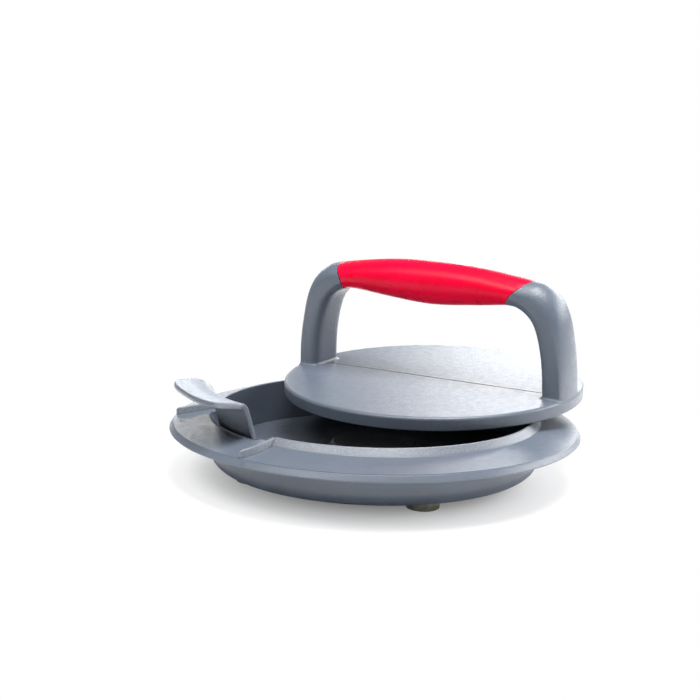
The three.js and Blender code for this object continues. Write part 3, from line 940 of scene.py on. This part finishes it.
def moulded_plastic(name, shades, grain=1.0, highlight_share=None, highlight_gain=1.0):
    """Satin moulded plastic: a fine spark-eroded grain, faint flow marks and paler, rubbed edges.

    The fourth argument is a function that gives the share of a painted highlight at each point,
    and the fifth says how much paler than usual that painted highlight is.
    """
    n = Nodes(name)
    flow = n.noise(28, 4, 0.6)
    speck = n.noise(1900, 3, 0.7)
    colour = n.mix(n.remap(flow, 0.35, 0.65, 0, 1), *shades)
    paler = tuple(min(c * 1.5 + 0.02, 1) for c in shades[1])
    colour = n.mix(n.remap(speck, 0.5, 0.78, 0, 0.22), colour, paler)
    patches = n.remap(n.noise(160, 5, 0.65), 0.4, 0.7, 0.1, 0.7)
    colour = n.mix(n.math("MULTIPLY", n.edges(0.53, 0.62), patches), colour, paler)
    # painted highlight: paler tones mixed in by the share that the fourth argument gives
    if highlight_share:
        tones = [tuple(c * highlight_gain for c in tone) for tone in HIGHLIGHT_TONES]
        highlighted = n.mix(n.remap(n.noise(2800, 2, 0.6), 0.4, 0.6, 0, 1), *tones)
        colour = n.mix(highlight_share(n), colour, highlighted)
    matt = n.math("ADD", n.noise(420, 3, 0.6), n.math("MULTIPLY", speck, 0.5))
    rough = n.remap(matt, 0.5, 1.0, *SATIN)
    rough = n.blend(n.edges(0.52, 0.6), rough, POLISHED)
    fine = n.bump(n.noise(2600, 2, 0.6), 0.00006 * grain, 0.8)
    soft = n.bump(n.cells(1500), 0.00005 * grain, 0.6, fine)
    scuffs = n.noise(60, 6, 0.7, stretch=(1, 14, 1))
    normal = n.bump(scuffs, 0.00001, 0.1, soft)
    return n.finish(colour, rough, normal, IOR=1.5)


def wall_highlight(n):
    """Share of painted highlight: 1 on the ring, the guide walls and, more faintly, the brim's
    edge.
    """
    x, y, z = n.split(n.place)
    r = n.math("SQRT", n.math("ADD", n.math("MULTIPLY", x, x), n.math("MULTIPLY", y, y)), 0)
    height = n.math("ADD", z, n.math("MULTIPLY", r, BRIM_FALL))
    level = (RING_ROOT + BRIM_FALL * RING_OUT_R) * MM
    above = n.remap(height, level + 0.15 * MM, level + 0.5 * MM, 0, 1)
    outside = n.remap(r, (WELL_R + 0.05) * MM, (WELL_R + 0.3) * MM, 0, 1)
    rim = n.remap(r, (BRIM_R - 1.4) * MM, (BRIM_R - 0.9) * MM, 0, 0.22)
    return n.math("MAXIMUM", n.math("MULTIPLY", above, outside), rim)


def tab_highlight(n):
    """The share of painted highlight, on the thumb pad's upper side and on the tab's edges."""
    _, _, z = n.split(n.place)
    _, across, up = n.split(n.add("ShaderNodeNewGeometry").outputs["Normal"])
    # painted highlight on the pad's upward faces and on the tab's side edges
    pad = n.math("MULTIPLY", n.remap(z, 26 * MM, 30 * MM, 0, 1), n.remap(up, 0.35, 0.8, 0, 0.9))
    edge = n.remap(n.math("ABSOLUTE", across, 0), 0.6, 0.85, 0.25, 0.85)
    return n.math("MAXIMUM", pad, n.math("MULTIPLY", edge, n.remap(z, 7 * MM, 9 * MM, 0, 1)))


def soft_grip(name):
    """Red soft-touch rubber: smooth, with a faint skin and a rubbed crown."""
    n = Nodes(name)
    cloud = n.noise(45, 4, 0.55)
    colour = n.mix(n.remap(cloud, 0.35, 0.65, 0, 1), *RED)
    wear = n.math("MULTIPLY", n.edges(0.52, 0.6), n.remap(n.noise(210, 4, 0.6), 0.45, 0.7, 0, 0.5))
    colour = n.mix(wear, colour, RED_WORN)
    rough = n.remap(n.noise(120, 5, 0.6), 0.3, 0.7, 0.24, 0.34)
    skin = n.bump(n.noise(320, 3, 0.5), 0.00002, 0.15)
    normal = n.bump(n.noise(2400, 2, 0.5), 0.00001, 0.2, skin)
    return n.finish(colour, rough, normal, IOR=1.48, Specular_IOR_Level=0.14)


def foot_rubber(name):
    """Olive-grey rubber with dust in its grain."""
    n = Nodes(name)
    dust = n.noise(380, 5, 0.7)
    colour = n.mix(n.remap(dust, 0.4, 0.66, 0, 1), *RUBBER)
    wear = n.math("MULTIPLY", n.edges(0.52, 0.6), n.remap(dust, 0.4, 0.6, 0.1, 0.6))
    colour = n.mix(wear, colour, RUBBER_WORN)
    rough = n.remap(n.noise(700, 3, 0.6), 0.3, 0.7, 0.65, 0.85)
    normal = n.bump(n.noise(1700, 3, 0.6), 0.00008, 0.6)
    return n.finish(colour, rough, normal)


# --- Studio -------------------------------------------------------------------------------------

FLOOR_HALF = 6.0  # half of the floor's side, in metres
FLOOR_FADE = (0.015, 0.108)  # distances over which the floor fades to white, in metres
WORLD_LIGHT = 0.26  # the white world's strength as a source of light
SOFTBOXES = [  # name, heading, elevation, distance and size in metres, power in watts
    ("top", 15, 80, 0.8, (0.45, 0.35), 11),
    ("back", 124, 19, 1.3, (1.3, 0.4), 12.5),
    ("back_left", 168, 11, 1.3, (0.3, 0.3), 1.2),
    ("side", 75, 24, 1.2, (0.7, 0.5), 9),
    ("left", -80, 55, 1.0, (0.5, 0.4), 6),
]


def floor(height):
    """A white floor that fades into the white background away from the object."""
    mesh = bpy.data.meshes.new("floor")
    signs = (-1, -1), (1, -1), (1, 1), (-1, 1)
    corners = [(x * FLOOR_HALF, y * FLOOR_HALF, height) for x, y in signs]
    mesh.from_pydata(corners, [], [(0, 1, 2, 3)])
    obj = bpy.data.objects.new("floor", mesh)
    bpy.context.scene.collection.objects.link(obj)
    n = Nodes("floor_white")
    n.bsdf.inputs["Base Color"].default_value = (0.93, 0.93, 0.93, 1)
    n.bsdf.inputs["Roughness"].default_value = 0.8
    n.bsdf.inputs["Specular IOR Level"].default_value = 0.2
    length = n.add("ShaderNodeVectorMath", operation="LENGTH")
    n.link(n.place, length.inputs[0])
    seen = n.add("ShaderNodeLightPath").outputs["Is Camera Ray"]
    share = n.remap(length.outputs["Value"], *FLOOR_FADE, 0, 1, "SMOOTHERSTEP")
    fade = n.math("MULTIPLY", share, seen)
    mix = n.add("ShaderNodeMixShader")
    white = n.add("ShaderNodeEmission")
    n.link(fade, mix.inputs[0])
    n.link(n.bsdf.outputs[0], mix.inputs[1])
    n.link(white.outputs[0], mix.inputs[2])
    n.link(mix.outputs[0], n.tree.nodes["Material Output"].inputs["Surface"])
    mesh.materials.append(n.material)


def softbox(centre, name, heading, elevation, distance, size, power):
    """An area light that looks at the object; heading 0 stands at -Y and 90 at +X."""
    light = bpy.data.lights.new(name, "AREA")
    light.shape = "RECTANGLE"
    light.size, light.size_y = size
    light.energy = power
    obj = bpy.data.objects.new(name, light)
    bpy.context.scene.collection.objects.link(obj)
    a, e = math.radians(heading), math.radians(elevation)
    out = Vector((math.sin(a) * math.cos(e), -math.cos(a) * math.cos(e), math.sin(e)))
    obj.location = centre + out * distance
    obj.rotation_mode = "QUATERNION"
    obj.rotation_quaternion = (-out).to_track_quat("-Z", "Y")
    obj.visible_camera = False


def backdrop():
    """White where the camera sees it, and dimmer as a source of light."""
    world = bpy.data.worlds.new("studio")
    world.use_nodes = True
    nodes, links = world.node_tree.nodes, world.node_tree.links
    background = nodes["Background"]
    background.inputs["Color"].default_value = (1, 1, 1, 1)
    strength = nodes.new("ShaderNodeMapRange")
    strength.inputs["To Min"].default_value = WORLD_LIGHT
    strength.inputs["To Max"].default_value = 1
    links.new(nodes.new("ShaderNodeLightPath").outputs["Is Camera Ray"], strength.inputs["Value"])
    links.new(strength.outputs["Result"], background.inputs["Strength"])
    bpy.context.scene.world = world


def studio(low, high):
    centre = (low + high) / 2
    floor(low.z)
    backdrop()
    for box in SOFTBOXES:
        softbox(centre, *box)
    bpy.context.scene.view_settings.view_transform = "Standard"


# Where the camera stands from the middle of the CAD's box, in metres, how it is turned, in
# degrees, and its lens and sensor, in millimetres.
CAMERA_OFFSET = Vector((-0.22427, -0.43664, 0.09731))
CAMERA_HEADING = 25.35
CAMERA_PITCH = -10.44
CAMERA_ROLL = 1.40
CAMERA_LENS = 69.43
CAMERA_SENSOR = 36
CAMERA_CLIP = 0.01, 50  # nearest and farthest distance seen, in metres


def camera(low, high):
    data = bpy.data.cameras.new("camera")
    data.sensor_width = CAMERA_SENSOR
    data.lens = CAMERA_LENS
    obj = bpy.data.objects.new("camera", data)
    bpy.context.scene.collection.objects.link(obj)
    obj.location = (low + high) / 2 + CAMERA_OFFSET
    turn = (
        Matrix.Rotation(math.radians(-CAMERA_HEADING), 4, "Z")
        @ Matrix.Rotation(math.radians(90 + CAMERA_PITCH), 4, "X")
        @ Matrix.Rotation(math.radians(CAMERA_ROLL), 4, "Z")
    )
    obj.rotation_mode = "QUATERNION"
    obj.rotation_quaternion = turn.to_quaternion()
    data.clip_start, data.clip_end = CAMERA_CLIP
    bpy.context.scene.camera = obj


# --- Assembly -----------------------------------------------------------------------------------

def settle(obj, material, body, node):
    """Gives a piece its material and its body, and hides the CAD node it stands for."""
    obj.data.materials.clear()
    obj.data.materials.append(material)
    shade(obj)
    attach(obj, body)
    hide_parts(node)


def build():
    # the dish and the tray carry painted highlights, and the tray's darker grey is painted shade
    dish_look = moulded_plastic("dish_plastic", GREY, highlight_share=wall_highlight, highlight_gain=0.8)
    press_look = moulded_plastic("press_plastic", GREY, 1.3)
    tray_look = moulded_plastic("tray_plastic", SHADED_TRAY_GREY, 0.5, tab_highlight, 1.3)
    face_look = moulded_plastic("face_plastic", FACE_GREY, 0.6)
    settle(dish(), dish_look, "base", "base_dish")
    rubber = foot_rubber("foot_rubber")
    for i, place in enumerate(foot_places(), 1):
        settle(foot(f"foot_{i}", place), rubber, "base", f"rubber_foot_{i}")
    settle(tray(), tray_look, "tray", "lift_tray")
    press, face, grip = press_body(), face_plate(), grip_sleeve()
    lay_press([press, face, grip], press, "press_body")
    settle(press, press_look, "press", "press_body")
    settle(face, face_look, "press", "press_face_plate")
    settle(grip, soft_grip("red_soft_grip"), "press", "grip_sleeve")


build()
studio(*CAD_BOX)
camera(*CAD_BOX)
bpy.context.view_layer.update()
